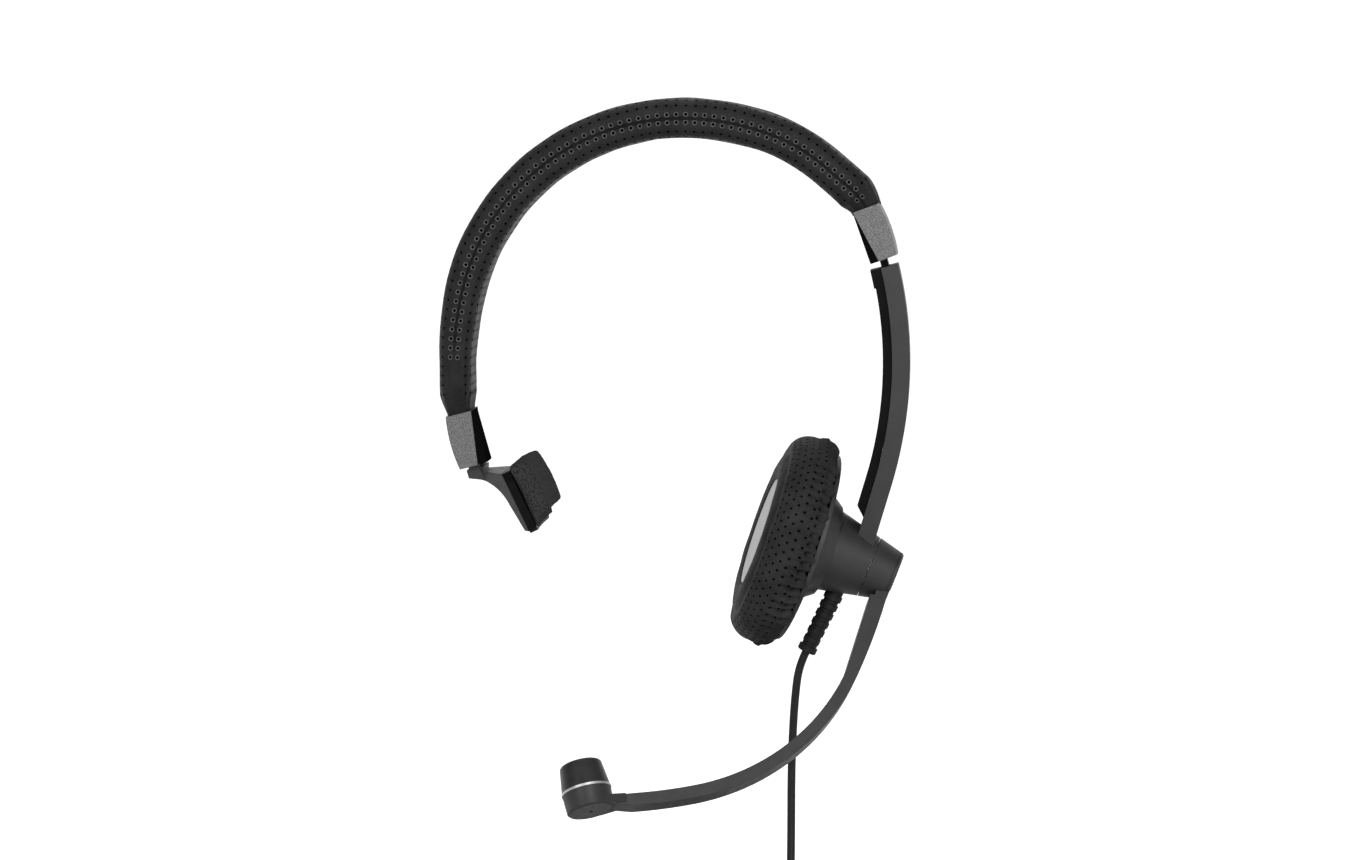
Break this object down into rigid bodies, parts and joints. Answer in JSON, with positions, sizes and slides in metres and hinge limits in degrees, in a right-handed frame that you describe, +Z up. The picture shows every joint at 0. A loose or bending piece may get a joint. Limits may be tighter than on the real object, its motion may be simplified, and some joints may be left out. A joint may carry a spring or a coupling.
{
  "type": "office headset",
  "caption": "Single-ear corded office headset with a padded headband, sliding arm, swivelling ear cup, temple rest and turning microphone boom.",
  "frame": {"origin": "crown of the headband, on the underside of its pad, where the headset rests on a head", "axes": "+Z up, -Y towards the wearer's front, +X towards the ear-cup side"},
  "size_m": [0.1383, 0.087, 0.3389],
  "materials": {
    "leatherette": "black leatherette with fine grain, small perforations and stitched front seam",
    "ear_leatherette": "soft black leatherette, perforated sides gathered in pleats at the back",
    "pad_foam": "dark open-cell foam",
    "temple_foam": "dark grey skinned foam",
    "spring_steel": "bright spring steel",
    "sleeve_metal": "satin grey metallic",
    "grey_plastic": "matte dark grey moulded plastic with a fine spark texture",
    "black_plastic": "matte black moulded plastic",
    "mic_plastic": "matte black moulded plastic, fine texture",
    "white_plastic": "natural white engineering plastic",
    "grip_plastic": "black overmoulded grip",
    "brass": "turned brass",
    "circuit_board": "green laminate",
    "black_rubber": "matte black elastomer",
    "cord_jacket": "matte black flexible jacket",
    "tie_strap": "black woven hook-and-loop strap",
    "plug_metal": "nickel-plated stamped steel",
    "gold_contact": "gold flash",
    "magnet_metal": "plated steel can",
    "driver_film": "thin clear polyester film",
    "speaker_cloth": "light grey knitted cloth",
    "mic_ring_metal": "satin silver ring"
  },
  "bodies": {
    "headband": {"band_cover": "leatherette", "band_foam": "pad_foam", "band_spring": "spring_steel", "arm_sleeve": "sleeve_metal", "temple_sleeve": "sleeve_metal", "sleeve_rivets": "spring_steel", "slider_blade": "black_plastic", "temple_plate": "black_plastic", "temple_foam": "temple_foam", "temple_arm": "grey_plastic"},
    "arm": {"arm_shell": "grey_plastic", "socket_ring": "grey_plastic", "arm_trim": "black_plastic", "detent_spring": "spring_steel", "boom_bush": "brass", "boom_screw": "spring_steel", "thrust_washer": "spring_steel", "friction_washer": "white_plastic", "terminal_board": "circuit_board", "strain_relief": "black_rubber", "cord": "cord_jacket", "cord_tail": "cord_jacket", "cord_coil": "cord_jacket", "cord_tie": "tie_strap", "usb_grip": "grip_plastic", "usb_shell": "plug_metal", "usb_tongue": "white_plastic", "usb_contacts": "gold_contact"},
    "swivel": {"swivel_cross": "black_plastic"},
    "ear_cup": {"cup_pin": "spring_steel", "cup_back_shell": "grey_plastic", "speaker_baffle": "black_plastic", "driver_frame": "white_plastic", "driver_magnet": "magnet_metal", "driver_cone": "driver_film", "cup_screws": "spring_steel", "cushion_cover": "ear_leatherette", "cushion_foam": "pad_foam", "speaker_cloth": "speaker_cloth"},
    "boom": {"boom_rotor": "grey_plastic", "rotor_cap": "grey_plastic", "boom_arm": "grey_plastic", "mic_ring": "mic_ring_metal", "mic_cap": "mic_plastic", "mic_capsule": "magnet_metal", "mic_boot": "black_rubber"}
  },
  "joints": [
    {"name": "arm_slide", "type": "hinge", "parent": "headband", "child": "arm", "pos_m": [-0.0572, 0, -0.0665], "axis": [0, 1, 0], "range_deg": [-0.7, 12]},
    {"name": "cup_turn", "type": "hinge", "parent": "arm", "child": "swivel", "pos_m": [0.04431, 0, -0.12239], "axis": [-0.3697, 0, -0.9291], "range_deg": [-3, 19]},
    {"name": "cup_tilt", "type": "hinge", "parent": "swivel", "child": "ear_cup", "pos_m": [0.04431, 0, -0.12239], "axis": [-0.1293, 0.9903, 0.0515], "range_deg": [-8.5, 13.5]},
    {"name": "boom_turn", "type": "hinge", "parent": "arm", "child": "boom", "pos_m": [0.05481, 0, -0.12657], "axis": [-0.9291, 0, 0.3697], "range_deg": [-20, 120]}
  ]
}
